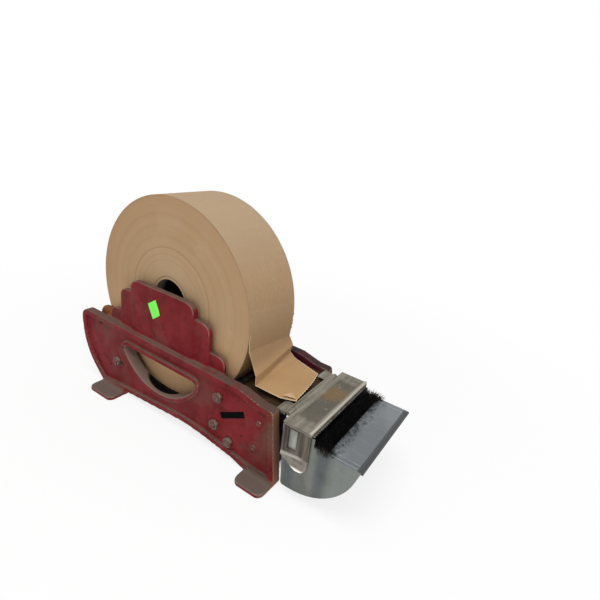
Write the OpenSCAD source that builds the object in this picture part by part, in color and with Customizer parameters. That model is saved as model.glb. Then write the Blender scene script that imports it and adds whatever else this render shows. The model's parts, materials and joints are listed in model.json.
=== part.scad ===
// Gummed tape dispenser for a shop counter: two cast side frames carry a roll of
// paper tape, a hinged cover with a tear-off edge, and a water tank with a brush.
// X runs across the machine, the front faces -Y and Z points up.
// The origin is on the counter, under the middle of the machine.

/* [Tape roll] */
// Width of the paper tape
tape_w = 76; // [66:1:90]
// Outside diameter of the full roll
roll_d = 224; // [190:1:228]
// Outside diameter of the cardboard core
core_d = 52; // [44:1:60]
// Wall of the cardboard core
core_wall = 2.8; // [1.5:0.1:4]
// Thickness of the loose end of tape
tape_t = 0.5; // [0.3:0.1:0.8]

/* [Side frames] */
// Gap from the edge of the tape to the inner face of a frame
side_gap = 8; // [6.5:0.5:12]
// Thickness of a frame at its rim
frame_t = 11; // [9:0.5:14]
// Thickness of the sunk web inside the rim
web_t = 5; // [3.5:0.5:7]
// Width of the raised rim
rim_w = 7; // [5:0.5:9]
// Height of the top rail
rail_z = 90; // [87:0.5:96]
// Drop of the rail at its front end
rail_drop = 6; // [3:0.5:8]
// Rear end of the frames, behind the origin
frame_rear = 195.8; // [190:0.1:205]
// Front end of the frames at the rail, before the origin
frame_front = 101; // [98:0.5:103]
// How much further forward the front end stands at the counter
front_lean = 11; // [6:0.5:12]
// Radius of the rounded rear end
rear_r = 80; // [70:1:84]
// Height of the arch between the feet
arch_z = 13; // [9:0.5:15]
// Radius of the bosses round the rods
boss_r = 8.5; // [7:0.5:10]
// How far the bosses stand out of the web
boss_h = 1.2; // [0.6:0.1:2]

/* [Feet] */
// How far a foot pad stands out from its frame
foot_out = 21.5; // [15:0.5:28]
// Thickness of a foot pad
foot_t = 4.5; // [3:0.5:6]
// Length of the front foot pad
front_foot = 35; // [28:1:38]
// Length of the rear foot pad
rear_foot = 42; // [34:1:46]
// How far the rear foot pad stands in from the frame's rear end
foot_in = 38.8; // [36:0.1:42]
// Corner radius of the foot pads
foot_corner = 8; // [4:0.5:12]
// Radius of the cove between a pad and its frame
foot_cove = 7; // [2:0.5:8]

/* [Crest] */
// Height of the middle step of the crest above the rail
crest_high = 62; // [50:1:70]
// Height of the second step above the rail
crest_mid = 46; // [36:1:48]
// Height of the lowest step above the rail
crest_low = 16; // [10:1:24]
// Half length of the middle step
crest_half_high = 49; // [42:1:56]
// Half length of the second step
crest_half_mid = 70; // [62:1:76]
// Half length of the lowest step
crest_half_low = 91; // [84:1:94]
// Thickness of the lowest step
crest_t = 4; // [3.5:0.5:6]
// How much each further step stands out
crest_step = 2; // [0.8:0.1:2.4]
// Corner radius of the steps
crest_corner = 10; // [4:0.5:12]

/* [Window] */
// Distance from the rail down to the window's straight top
window_drop = 20.3; // [18:0.1:24]
// Lowest point of the window
window_low = 30.5; // [28:0.5:36]
// Radius of the window's round lower side
window_r = 67.5; // [64:0.5:70]
// Middle of the window, behind the origin
window_mid = 57; // [54:0.5:60]
// Radius of the window's two corners
window_corner = 4.5; // [3:0.5:6]
// Width of the bead round the window
window_bead = 5.5; // [3:0.5:7]
// Height of the collar round the window on the inner face
window_collar = 3; // [1:0.5:4]
// Wall of that collar
collar_t = 3; // [2:0.5:4]

/* [Rods and rollers] */
// Radius of all cross rods
rod_r = 3; // [2.5:0.1:3.4]
// Front roller shaft, distance before the origin
front_shaft_y = 33.2; // [30:0.2:36]
// Front roller shaft, height
front_shaft_z = 67.7; // [65:0.1:69]
// Rear roller shaft, distance behind the origin
rear_shaft_y = 129.2; // [127:0.2:134]
// Rear roller shaft, height
rear_shaft_z = 41.6; // [39:0.1:44]
// Radius of the front support roller
front_roller_r = 5; // [4.6:0.1:6]
// Radius of the rear support roller
rear_roller_r = 7; // [5:0.1:8]
// Radius of the guide rod
guide_rod_r = 2; // [1.6:0.1:2.6]
// Angle of the guide rod below the roll's centre
guide_angle = 29.2; // [26:0.2:34]
// Radius of the sleeve on the guide rod
sleeve_r = 5; // [4.5:0.1:6]
// Radius of the side guide discs
disc_r = 17.3; // [12:0.1:19]
// Thickness of a side guide disc
disc_t = 2.4; // [1.5:0.1:3]
// Middle tie rod, distance before the origin
tie_mid_y = 30; // [26:0.2:33]
// Middle tie rod, height
tie_mid_z = 33; // [30:0.5:36]
// Low tie rod, distance before the origin
tie_low_y = 50.4; // [48:0.2:53]
// Low tie rod, height
tie_low_z = 21; // [19.5:0.5:24]
// Thickness of the rod nuts
nut_t = 3.8; // [3:0.1:6]

/* [Tape deck] */
// Top of the cover below the front end of the rail
cover_drop = 1.2; // [0.5:0.1:3]
// Thickness of the deck and plate sheet
sheet_t = 1.5; // [1:0.1:1.8]
// Height of the gap that the tape runs through
feed_gap = 2.4; // [1.6:0.1:3]
// Rear edge of the deck, before the origin
deck_rear = 47; // [45:0.5:50]
// Depth of the deck's turned-down sides
deck_side = 24; // [20:0.5:28]
// Length of the feed plate's ears
ear_len = 11; // [8:0.5:13]
// Width of the notch between the ears
notch_w = 59; // [50:1:64]

/* [Cover] */
// Depth of the cover from its rear to its front edge
cover_len = 30.5; // [28:0.5:31]
// Radius of the hinge barrel
barrel_r = 2.3; // [2:0.1:2.5]
// Radius of the hinge wire
hinge_r = 1.1; // [0.8:0.1:1.3]
// Thickness of the side cheeks
cheek_t = 1.2; // [0.8:0.1:1.5]
// Depth of the side cheeks
cheek_z = 34; // [30:0.5:38]
// Width of the slot in a cheek
cheek_slot_w = 9; // [6:0.5:12]
// Length of the slot in a cheek
cheek_slot_z = 22; // [16:0.5:24]
// Width of the finger lip at its front end
lip_w = 8; // [5:0.5:10]
// Pitch of the teeth on the tear-off blade
tooth_pitch = 3; // [2:0.25:5]
// Depth of the teeth
tooth_z = 1.6; // [0.8:0.1:2]

/* [Water tank] */
// Gap between the frames' front end and the tank
tank_gap = 6; // [5:0.5:8]
// How far the tank reaches forward of the brush
tank_room = 35.1; // [32:0.1:38]
// How far the tank's rear half rises above its rim, under the cover
tank_rise = 8; // [4:0.5:8]
// Height of the tank's rim
tank_z = 70; // [68:0.5:72]
// Height of the tank's underside
tank_low = 10; // [8:0.5:12]
// Wall of the tank
tank_wall = 1.2; // [0.8:0.1:1.6]
// Gap between the brush and the apron plate
apron_gap = 2.4; // [2.4:0.1:6]
// Radius of the apron's rolled front edge
roll_edge_r = 1.4; // [1:0.1:2.5]

/* [Brush] */
// Width of the brush block along Y
brush_y = 11.5; // [11:0.5:14]
// Height of the brush block
brush_block_z = 24; // [18:0.5:26]
// Free length of the longest bristles
bristle_len = 31; // [26:0.5:32]
// Rows of bristles across the block
bristle_rows = 9; // [7:1:9]
// Bristles in each row
bristle_count = 46; // [43:1:50]
// Radius of one bristle tuft
bristle_r = 0.42; // [0.3:0.02:0.46]

/* [Clearances] */
// Running clearance of a shaft in its hole
run_gap = 0.06; // [0.02:0.01:0.08]
// Gap between a roller and the roll that it carries
roll_gap = 0.3; // [0.2:0.05:0.5]
// Gap between parts that slide past each other
slide_gap = 0.6; // [0.4:0.05:1]

/* [Hidden] */
$fn = 48;

red = [0.46, 0.17, 0.18];
steel = [0.6, 0.6, 0.62];
dull_nickel = [0.62, 0.6, 0.54];
zinc = [0.5, 0.54, 0.52];
kraft = [0.72, 0.57, 0.4];
card = [0.55, 0.43, 0.3];
black = [0.08, 0.08, 0.08];
rust = [0.5, 0.3, 0.16];
wood = [0.35, 0.25, 0.16];

// Planes across the machine, as distances from the middle
inner_x = tape_w / 2 + side_gap;
outer_x = inner_x + frame_t;
web_in = (frame_t - web_t) / 2;
foot_rear = frame_rear - foot_in;
fit_x = inner_x - 0.3;

// Heights and depths of the cover and the deck under it
rail_front_z = rail_z - rail_drop;
cover_top = rail_front_z - cover_drop;
cover_under = cover_top - sheet_t;
deck_top = cover_under - feed_gap;
deck_under = deck_top - sheet_t;
front_low = frame_front + front_lean;
cover_rear = frame_front + 12.5;
cover_front = cover_rear + cover_len;
hinge_y = -(cover_rear - barrel_r - 0.4);
hinge_z = cover_top - sheet_t / 2;
feed_front = -hinge_y - barrel_r - 0.3;
feed_rear = feed_front - ear_len;

// The roll rests on the two rollers
roll_r = roll_d / 2;
front_shaft_at = [-front_shaft_y, front_shaft_z];
rear_shaft_at = [rear_shaft_y, rear_shaft_z];
reach_front = roll_r + front_roller_r + roll_gap;
reach_rear = roll_r + rear_roller_r + roll_gap;
shaft_span = norm(rear_shaft_at - front_shaft_at);
span_dir = (rear_shaft_at - front_shaft_at) / shaft_span;
span_share = (reach_front ^ 2 - reach_rear ^ 2 + shaft_span ^ 2) / (2 * shaft_span);
span_rise = sqrt(reach_front ^ 2 - span_share ^ 2);
roll_at = front_shaft_at + span_dir * span_share + [-span_dir.y, span_dir.x] * span_rise;
guide_reach = roll_r + sleeve_r + 2 * roll_gap;
guide_at = roll_at + guide_reach * [cos(guide_angle), -sin(guide_angle)];
disc_x = tape_w / 2 + 1;

// Screws that hold the deck and the cross plate
screw_r = 2;
head_r = screw_r * 1.7;
head_t = 1.6;
deck_screw_at = [-(frame_front - 15), deck_top - 16];
cross_screw_at = [-(frame_front - 19), 32];
rod_places = [front_shaft_at, rear_shaft_at, [-tie_mid_y, tie_mid_z], [-tie_low_y, tie_low_z]];
screw_places = [deck_screw_at, cross_screw_at];
seat_x = outer_x - web_in + boss_h;
rod_end = seat_x + nut_t + 1;

// Water tank and brush
tank_x = outer_x - cheek_t - slide_gap + 0.6;
tank_rear_top = frame_front + front_lean * (1 - tank_z / rail_front_z) + tank_gap + 4;
tank_rear_low = front_low + tank_gap;
rear_lean = (tank_rear_low - tank_rear_top) / (tank_z + tank_rise - tank_low);
brush_rear = cover_front + 3;
brush_front = brush_rear + brush_y;
tank_front = brush_front + tank_room;
apron_rear = brush_front + apron_gap;
brush_foot = 24;
brush_top = brush_foot + brush_block_z;
back_slice = 2;
brush_x = tank_x - tank_wall - 1.5;

// Points of an outline whose corners are [y, z, radius]
function unit(v) = v / norm(v);
function corner(a, b, c, r) =
  let (
    u = unit(a - b),
    v = unit(c - b),
    half = acos(max(-1, min(1, u * v))) / 2,
    start = b + u * r / tan(half),
    stop = b + v * r / tan(half),
    mid = b + unit(u + v) * r / sin(half),
    from = atan2(start.y - mid.y, start.x - mid.x),
    sweep = (atan2(stop.y - mid.y, stop.x - mid.x) - from + 540) % 360 - 180,
    steps = max(2, ceil(abs(sweep) / 15), ceil(abs(sweep) * r / 420))
  )
  [for (i = [0 : steps]) mid + r * [cos(from + sweep * i / steps), sin(from + sweep * i / steps)]];
function rounded(list) = [
  for (i = [0 : len(list) - 1])
    let (
      n = len(list),
      p = list[(i + n - 1) % n],
      q = list[i],
      s = list[(i + 1) % n]
    )
    each (q[2] > 0 ? corner([p.x, p.y], [q.x, q.y], [s.x, s.y], q[2]) : [[q.x, q.y]])
];

// Pushes a side outline along X, from one plane to another
module across(from, to) {
  translate([from, 0, 0])
    rotate([90, 0, 90])
      linear_extrude(to - from)
        children();
}

// A round bar along X at a place in the side view
module bar(at, r, from, to, sides = 48) {
  translate([from, at.x, at.y])
    rotate([0, 90, 0])
      cylinder(r = r, h = to - from, $fn = sides);
}

// ---- side frames -------------------------------------------------------------

// Moves every side of an outline inwards, or outwards where by is negative. The
// corners run from the rear over the top to the front, and keep their rounding.
function inset(list, by) = [
  for (i = [0 : len(list) - 1])
    let (
      n = len(list),
      q = list[i],
      at = [q.x, q.y],
      p = list[(i + n - 1) % n],
      s = list[(i + 1) % n],
      u = unit(at - [p.x, p.y]),
      v = unit([s.x, s.y] - at),
      left = [-u.y, u.x],
      right = [-v.y, v.x],
      moved = at + by * (left + right) / (1 + left * right),
      bend = u.x * v.y - u.y * v.x
    )
    [moved.x, moved.y, q[2] == 0 ? 0 : max(1.5, q[2] + (bend > 0 ? -by : by))]
];

// Height at which the lines of the rounded rear end would meet
rear_bend_z = 38;
frame_corners = [
  [foot_rear, 0, 2],
  [frame_rear, rear_bend_z, rear_r],
  [frame_rear, rail_z, 9.5],
  [-(frame_front - 40), rail_z, 30],
  [-(frame_front - 15), rail_front_z, 30],
  [-frame_front, rail_front_z, 4],
  [-front_low, 0, 3],
  [-(front_low - front_foot - 6), 0, 3],
  [-(front_low - front_foot - 20), foot_t, 20],
  [5, arch_z, 250],
  [foot_rear - rear_foot - 2, foot_t + 0.5, 3],
  [foot_rear - rear_foot, 0, 1]
];
// The sunk panel follows the outline, past the short steps at the feet
panel_corners = inset([
  [foot_rear + 3, 0, 5],
  [frame_rear, rear_bend_z, rear_r],
  [frame_rear, rail_z, 9.5],
  [-(frame_front - 40), rail_z, 30],
  [-(frame_front - 15), rail_front_z, 30],
  [-frame_front, rail_front_z, 10],
  [-front_low, 0, 12],
  [-(front_low - front_foot + 4), 0, 20],
  [5, arch_z, 250],
  [foot_rear - rear_foot - 10, foot_t, 30]
], rim_w);

window_top = rail_z - window_drop;
window_centre = [window_mid, window_low + window_r];
window_half = sqrt(window_r ^ 2 - (window_centre.y - window_top) ^ 2);
window_corners = [
  [window_mid + window_half, window_top, window_corner],
  [window_mid - window_half, window_top, window_corner],
  for (a = [-54 : 6 : 54])
    [window_mid + window_r * sin(a), window_centre.y - window_r * cos(a), 0]
];

// Cuts or fills the sunk panel of one face, leaving the beads and bosses
module panel(from, to) {
  difference() {
    across(from, to)
      polygon(rounded(panel_corners));
    across(from - 1, to + 1)
      polygon(rounded(inset(window_corners, -window_bead)));
  }
}

module bosses(from, to) {
  for (at = concat(rod_places, [deck_screw_at]))
    bar(at, boss_r, from, to);
  bar(cross_screw_at, boss_r - 3, from, to);
}

module crest_step_plate(half, top, thick) {
  across(-inner_x - thick + 3, -inner_x + 3)
    polygon(rounded([
      [roll_at.x - half, rail_z - 9, 0],
      [roll_at.x + half, rail_z - 9, 0],
      [roll_at.x + half, rail_z + top, crest_corner],
      [roll_at.x - half, rail_z + top, crest_corner]
    ]));
}

module foot_pad(from, to) {
  linear_extrude(foot_t)
    polygon(rounded([
      [-outer_x + 2, from, 0],
      [-outer_x - foot_out, from, foot_corner],
      [-outer_x - foot_out, to, foot_corner],
      [-outer_x + 2, to, 0]
    ]));
  translate([0, to - foot_corner / 4, 0])
    rotate([90, 0, 0])
      linear_extrude(to - from - foot_corner / 2)
        polygon(concat(
          [[-outer_x + 1, foot_t - 1], [-outer_x + 1, foot_t + foot_cove]],
          [for (a = [0 : 15 : 90])
            [-outer_x - foot_cove + foot_cove * cos(a), foot_t + foot_cove - foot_cove * sin(a)]],
          [[-outer_x - foot_cove, foot_t - 1]]
        ));
}

module side_frame() {
  difference() {
    union() {
      across(-outer_x, -inner_x)
        polygon(rounded(frame_corners));
      foot_pad(-front_low + 1, -front_low + 1 + front_foot);
      foot_pad(foot_rear - rear_foot, foot_rear);
      crest_step_plate(crest_half_low, crest_low, crest_t);
      crest_step_plate(crest_half_mid, crest_mid, crest_t + crest_step);
      crest_step_plate(crest_half_high, crest_high, crest_t + 2 * crest_step);
      across(-inner_x - web_t, -inner_x + window_collar)
        polygon(rounded(inset(window_corners, -collar_t)));
    }
    difference() {
      panel(-outer_x - 1, -outer_x + web_in);
      bosses(-seat_x, -inner_x);
    }
    difference() {
      panel(-inner_x - web_in, -inner_x + 1);
      bosses(-outer_x, -inner_x + 2);
      translate([-outer_x, -frame_front - 20, rail_z - 14])
        cube([frame_t + 2, frame_front + frame_rear + 40, 20]);
    }
    across(-outer_x - 1, -inner_x + window_collar + 1)
      polygon(rounded(window_corners));
    for (at = rod_places)
      bar(at, rod_r + run_gap, -outer_x - 1, -inner_x + 1);
    bar(guide_at, guide_rod_r + run_gap, -outer_x - 1, -inner_x + 1);
    for (at = screw_places)
      bar(at, screw_r + run_gap, -outer_x - 1, -inner_x + 1);
  }
}

module left_frame() {
  color(red)
    side_frame();
}

module right_frame() {
  color(red)
    mirror([1, 0, 0])
      side_frame();
}

// ---- tape deck between the frames ----------------------------------------------

module deck_plate() {
  color(black)
    difference() {
      union() {
        translate([-fit_x, -feed_front, deck_under])
          cube([2 * fit_x, feed_front - deck_rear, sheet_t]);
        translate([-fit_x, -deck_rear - sheet_t, deck_top - deck_side * 0.6])
          cube([2 * fit_x, sheet_t, deck_side * 0.6]);
        for (x = [-fit_x, fit_x - sheet_t])
          translate([x, -feed_front, deck_top - deck_side])
            cube([sheet_t, feed_front - deck_rear - 14, deck_side]);
      }
      for (x = [-fit_x - 1, fit_x - sheet_t - 1])
        bar(deck_screw_at, screw_r + run_gap, x, x + sheet_t + 2);
    }
}

// Strips beside the tape that hold the feed plate off the deck
module tape_side_guides() {
  color(steel)
    for (x = [-fit_x, tape_w / 2 + 1])
      translate([x, -feed_front + 1, deck_top])
        cube([fit_x - tape_w / 2 - 1, ear_len - 2, feed_gap]);
}

module feed_plate() {
  color(dull_nickel)
    difference() {
      union() {
        translate([-fit_x, -feed_front, cover_under])
          cube([2 * fit_x, ear_len, sheet_t]);
        for (x = [-fit_x, fit_x - 10])
          translate([x, hinge_y, cover_under])
            cube([10, barrel_r + 1.3, sheet_t]);
        for (x = [-fit_x, fit_x - 10])
          bar([hinge_y, hinge_z], barrel_r, x, x + 10);
      }
      translate([-notch_w / 2, -feed_front + 2, cover_under - 1])
        cube([notch_w, ear_len, sheet_t + 2]);
      bar([hinge_y, hinge_z], hinge_r + run_gap, -fit_x - 1, fit_x + 1);
    }
}

// Upright plate behind the tank, with two slots for the tank's tongues
cross_y = -(frame_front + 2);
cross_low = tank_low + 4;
cross_top = deck_top - deck_side - slide_gap;
cross_tab_y = 26;
cross_tab_z = 16;
tongue_w = 14;
tongue_x = 26;
tongue_z = 44;

module cross_plate() {
  color(black)
    difference() {
      union() {
        translate([-fit_x, cross_y, cross_low])
          cube([2 * fit_x, sheet_t, cross_top - cross_low]);
        for (x = [-fit_x, fit_x - sheet_t])
          translate([x, cross_y, cross_screw_at.y - cross_tab_z / 2])
            cube([sheet_t, cross_tab_y, cross_tab_z]);
      }
      for (x = [-tongue_x, tongue_x])
        translate([x - tongue_w / 2 - slide_gap / 2, cross_y - 1, tongue_z - slide_gap / 2])
          cube([tongue_w + slide_gap, sheet_t + 2, sheet_t + slide_gap]);
      for (x = [-fit_x - 1, fit_x - sheet_t - 1])
        bar(cross_screw_at, screw_r + run_gap, x, x + sheet_t + 2);
    }
}

// ---- fasteners -------------------------------------------------------------------

module frame_screw(at, seat) {
  bar(at, screw_r, -seat - 0.5, -fit_x + sheet_t + 3.6);
  difference() {
    union() {
      bar(at, head_r, -seat - head_t * 0.6, -seat);
      bar(at, head_r * 0.85, -seat - head_t, -seat - head_t * 0.6);
    }
    translate([-seat - head_t - 1, at.x - screw_r * 2, at.y - 0.5])
      cube([1.8, screw_r * 4, 1]);
  }
}

module frame_screws() {
  color(steel)
    for (side = [0, 1])
      mirror([side, 0, 0]) {
        frame_screw(deck_screw_at, seat_x);
        frame_screw(cross_screw_at, seat_x);
      }
}

module hex_nut(at, r, from, thick, flat) {
  difference() {
    translate([from, at.x, at.y])
      rotate([0, 90, 0])
        cylinder(r = flat / cos(30), h = thick, $fn = 6);
    bar(at, r + run_gap, from - 1, from + thick + 1);
  }
}

module screw_nuts() {
  color(steel)
    for (side = [0, 1])
      mirror([side, 0, 0])
        for (at = screw_places)
          hex_nut(at, screw_r, -fit_x + sheet_t, 3, screw_r * 1.75);
}

module rod_nuts() {
  color(steel)
    for (side = [0, 1])
      mirror([side, 0, 0])
        for (at = rod_places)
          hex_nut(at, rod_r, -seat_x - nut_t, nut_t, rod_r * 1.65);
}

// ---- rods and rollers --------------------------------------------------------------

module through_rod(at, end, r = rod_r) {
  color(steel)
    bar(at, r, -end, end);
}

module rear_shaft() {
  through_rod(rear_shaft_at, rod_end);
}

module front_shaft() {
  through_rod(front_shaft_at, rod_end);
}

module guide_rod() {
  through_rod(guide_at, outer_x - web_in - 2.5, guide_rod_r);
}

module tie_rod_mid() {
  through_rod([-tie_mid_y, tie_mid_z], rod_end);
}

module tie_rod_low() {
  through_rod([-tie_low_y, tie_low_z], rod_end);
}

module tube(at, r, half, rod = rod_r) {
  difference() {
    bar(at, r, -half, half);
    bar(at, rod + run_gap, -half - 1, half + 1);
  }
}

module rear_roller() {
  color(steel)
    tube(rear_shaft_at, rear_roller_r, fit_x - 0.3);
}

module front_roller() {
  color(steel)
    tube(front_shaft_at, front_roller_r, fit_x - 0.3);
}

module guide_sleeve() {
  color(rust)
    tube(guide_at, sleeve_r, disc_x, guide_rod_r);
}

module guide_disc() {
  color(rust)
    difference() {
      union() {
        bar(guide_at, disc_r, disc_x, disc_x + disc_t);
        bar(guide_at, sleeve_r + 1, disc_x + disc_t, fit_x - 0.3);
      }
      bar(guide_at, guide_rod_r + run_gap, disc_x - 1, inner_x);
    }
}

module guide_disc_left() {
  mirror([1, 0, 0])
    guide_disc();
}

module guide_disc_right() {
  guide_disc();
}

// ---- roll of tape --------------------------------------------------------------------

module ring(outside, inside, half) {
  difference() {
    bar(roll_at, outside, -half, half, 96);
    bar(roll_at, inside, -half - 1, half + 1, 96);
  }
}

module tape_roll() {
  color(kraft)
    ring(roll_r, core_d / 2, tape_w / 2);
}

module roll_core() {
  color(card)
    ring(core_d / 2, core_d / 2 - core_wall, tape_w / 2);
}

// The loose end leaves the roll, folds twice and lies forward over the feed plate.
// Its route is given down its left and its right edge, and each edge also steps
// inwards, towards the torn end.
function on_roll(angle, out) = roll_at + (roll_r + out) * [cos(angle), sin(angle)];
flap_left = feed_rear - 33;
flap_right = feed_rear - 43;
left_route = [
  on_roll(175, 0.5),
  on_roll(182, 0.7),
  on_roll(189, 2.5),
  on_roll(198.5, 19),
  [-flap_left, cover_top + 4.7],
  [-flap_left - 9.4, cover_top + 5.2],
  [-flap_left - 28.7, cover_top + 4.4],
  [-flap_left - 42.4, cover_top + 2.4]
];
right_route = [
  on_roll(180, 0.5),
  on_roll(187, 0.6),
  on_roll(193.6, 1.5),
  on_roll(197.7, 10.4),
  [-flap_right, deck_top + 13.4],
  [-flap_right - 7, deck_top + 8.4],
  [-flap_right - 21.3, deck_top + 4.7],
  [-flap_right - 40.8, deck_top + 2.1]
];
left_in = [0, 0, 0, 0, 0, 0, 2.5, 11.5];
right_in = [0, 0, 0, 0, 0, 0, 0, 3];
tape_cols = 14;

// The torn end has small teeth
function torn(col) = col % 2 == 0 ? 0.5 : -0.5;
function tape_point(row, share) =
  left_route[row] * (1 - share) + right_route[row] * share
  + (row < len(left_route) - 1 ? [0, 0] : [torn(round(share * tape_cols)), 0]);
function tape_grid(lift) = [
  for (row = [0 : len(left_route) - 1], col = [0 : tape_cols])
    let (
      share = col / tape_cols,
      p = tape_point(row, share),
      before = tape_point(max(row - 1, 0), share),
      after = tape_point(min(row + 1, len(left_route) - 1), share),
      along = unit(after - before),
      out = [along.y, -along.x],
      side = (share - 0.5) * tape_w + left_in[row] * (1 - share) - right_in[row] * share
    )
    [side, p.x + out.x * lift, p.y + out.y * lift]
];

module tape_end() {
  wide = tape_cols + 1;
  rows = len(left_route);
  count = wide * rows;
  // Quads of one face, split into triangles
  top_faces = [
    for (r = [0 : rows - 2], c = [0 : tape_cols - 1])
      let (a = r * wide + c)
      each [[a, a + wide, a + 1], [a + 1, a + wide, a + wide + 1]]
  ];
  low_faces = [for (f = top_faces) [f[0] + count, f[2] + count, f[1] + count]];
  ends = [
    for (c = [0 : tape_cols - 1], r = [0, rows - 1])
      let (a = r * wide + c, flip = r == 0)
      each flip
        ? [[a, a + 1, a + count], [a + 1, a + 1 + count, a + count]]
        : [[a, a + count, a + 1], [a + 1, a + count, a + 1 + count]]
  ];
  sides = [
    for (r = [0 : rows - 2], c = [0, tape_cols])
      let (a = r * wide + c, b = a + wide, flip = c == 0)
      each flip
        ? [[a, a + count, b], [b, a + count, b + count]]
        : [[a, b, a + count], [b, b + count, a + count]]
  ];
  color(kraft)
    polyhedron(
      points = concat(tape_grid(0), tape_grid(tape_t)),
      faces = concat(top_faces, low_faces, ends, sides)
    );
}

// ---- hinged cover ----------------------------------------------------------------------

module hinge_wire() {
  color(steel)
    bar([hinge_y, hinge_z], hinge_r, -fit_x, fit_x);
}

module cover_plate() {
  knuckle = fit_x - 10.4;
  bead = 1.4;
  color(dull_nickel)
    difference() {
      union() {
        translate([-outer_x, -cover_front, cover_under])
          cube([2 * outer_x, cover_len, sheet_t]);
        translate([-knuckle, -cover_rear - 1, cover_under])
          cube([2 * knuckle, barrel_r + 1.4, sheet_t]);
        bar([hinge_y, hinge_z], barrel_r, -knuckle, knuckle);
        bar([-cover_front + bead, cover_top - 0.2], bead, -outer_x, outer_x);
      }
      bar([hinge_y, hinge_z], hinge_r + run_gap, -knuckle - 1, knuckle + 1);
      translate([-outer_x - 1, -cover_front - 1, cover_under - 4])
        cube([2 * outer_x + 2, cover_len, 4]);
      translate([-outer_x + 8, -cover_front + 5, cover_top - 0.5])
        cube([2 * outer_x - 16, cover_len - 9, 2]);
    }
}

cheek_rear = cover_rear + 1;
cheek_low = cover_under - cheek_z;
cheek_slot_rear = cheek_rear + 6.5;

module cover_cheek() {
  cheek_out = outer_x + 0.6;
  lip_turn = 35;
  color(dull_nickel) {
    difference() {
      translate([-cheek_out, -cover_front, cheek_low])
        cube([cheek_t, cover_front - cheek_rear, cheek_z]);
      translate([-cheek_out - 1, -cheek_slot_rear - cheek_slot_w, cover_under - 3 - cheek_slot_z])
        cube([cheek_t + 2, cheek_slot_w, cheek_slot_z]);
    }
    translate([-cheek_out, -cover_front, cover_under - cheek_t])
      cube([3 * cheek_t, cover_front - cheek_rear, cheek_t]);
    translate([-cheek_out, 0, cheek_low])
      rotate([0, lip_turn, 0])
        translate([0, 0, -lip_w])
          across(0, cheek_t)
            polygon(rounded([
              [-cheek_rear, lip_w + 1.2, 0],
              [-cheek_rear, lip_w - 1, 0],
              [-cover_front + cover_len / 3, 0, 4],
              [-cover_front, 0, 6],
              [-cover_front, lip_w + 1.2, 0]
            ]));
  }
}

module cover_cheek_left() {
  cover_cheek();
}

module cover_cheek_right() {
  mirror([1, 0, 0])
    cover_cheek();
}

// Lower lip of the tape outlet, with teeth along its front edge
blade_t = 1;
blade_gap = 1.6;
blade_deep = cover_len / 3;
blade_top = cover_under - blade_gap;
blade_x = outer_x - cheek_t - 1;
blade_teeth = floor(2 * blade_x / tooth_pitch);
stud_places = [blade_x - 4, (tape_w / 2 + blade_x - 4) / 2];

module tear_blade() {
  color(steel)
    translate([0, 0, blade_top - blade_t])
      linear_extrude(blade_t)
        polygon(concat(
          [[blade_x, -cover_front + blade_deep], [-blade_x, -cover_front + blade_deep]],
          [for (i = [0 : blade_teeth - 1], p = [0, 0.5])
            [
              -blade_x + 2 * blade_x * (i + p) / blade_teeth,
              -cover_front - 0.4 - (p == 0 ? 0 : tooth_z)
            ]
          ],
          [[blade_x, -cover_front - 0.4]]
        ));
}

module blade_studs() {
  color(steel)
    for (x = stud_places, side = [-1, 1])
      translate([side * x, -cover_front + 5, blade_top])
        cylinder(r = 1.5, h = blade_gap);
}

// ---- water tank ------------------------------------------------------------------------------

// The side view from the rear over the top to the front, with its top at a height
tank_deep = tank_z - tank_low;
tank_lean = 0.287;
tank_round = 1.1 * tank_deep;
tank_top = tank_z + tank_rise;
function tank_corners(top) = [
  [-tank_rear_low, tank_low, 3],
  [-tank_rear_low + (top - tank_low) * rear_lean, top, 0],
  [-tank_front - (top - tank_z) * tank_lean, top, 0],
  [-tank_front + tank_deep * tank_lean, tank_low, tank_round]
];

// The rear half stands higher than the rim in front of it, under the cover
module water_tank() {
  color(zinc)
    difference() {
      across(-tank_x, tank_x)
        polygon(rounded(tank_corners(tank_top)));
      translate([-tank_x - 1, -tank_front - 20, tank_z])
        cube([2 * tank_x + 2, tank_front + 20 - brush_rear, tank_rise + 1]);
      across(-tank_x + tank_wall, tank_x - tank_wall)
        polygon(rounded(inset(tank_corners(tank_top + 3), tank_wall)));
    }
}

module apron_plate() {
  bead_r = 0.9;
  color(zinc) {
    difference() {
      union() {
        translate([-tank_x, -tank_front, tank_z])
          cube([2 * tank_x, tank_front - apron_rear, tank_wall]);
        bar([-tank_front - roll_edge_r + 0.6, tank_z - roll_edge_r + tank_wall], roll_edge_r, -tank_x, tank_x);
      }
      across(-tank_x - 1, tank_x + 1)
        polygon(rounded(tank_corners(tank_z)));
    }
    for (x = [-tank_x + bead_r, -tank_x + 6, tank_x - 6, tank_x - bead_r])
      translate([x, -tank_front + 3, tank_z + tank_wall - 0.2])
        rotate([-90, 0, 0])
          cylinder(r = bead_r, h = tank_front - apron_rear - 4, $fn = 24);
  }
}

module tank_tongues() {
  wall_y = -tank_rear_low
    + (tongue_z - tank_low) * rear_lean;
  color(zinc)
    for (x = [-tongue_x, tongue_x])
      difference() {
        translate([x - tongue_w / 2, wall_y - 3, tongue_z])
          cube([tongue_w, cross_y - wall_y + 10, sheet_t]);
        across(-tank_x, tank_x)
          polygon(rounded(tank_corners(tank_z)));
      }
}

// ---- brush -------------------------------------------------------------------------------------

// Two ribs on the tank's floor that carry the brush block
rest_x = brush_x * 0.85;
rest_t = 2;

module brush_rests() {
  color(zinc)
    for (x = [-rest_x, rest_x - rest_t])
      across(x, x + rest_t)
        intersection() {
          polygon(rounded(inset(tank_corners(tank_z), tank_wall)));
          translate([-brush_front + 1, 0])
            square([brush_y - 2, brush_foot - 0.3]);
        }
}

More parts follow.
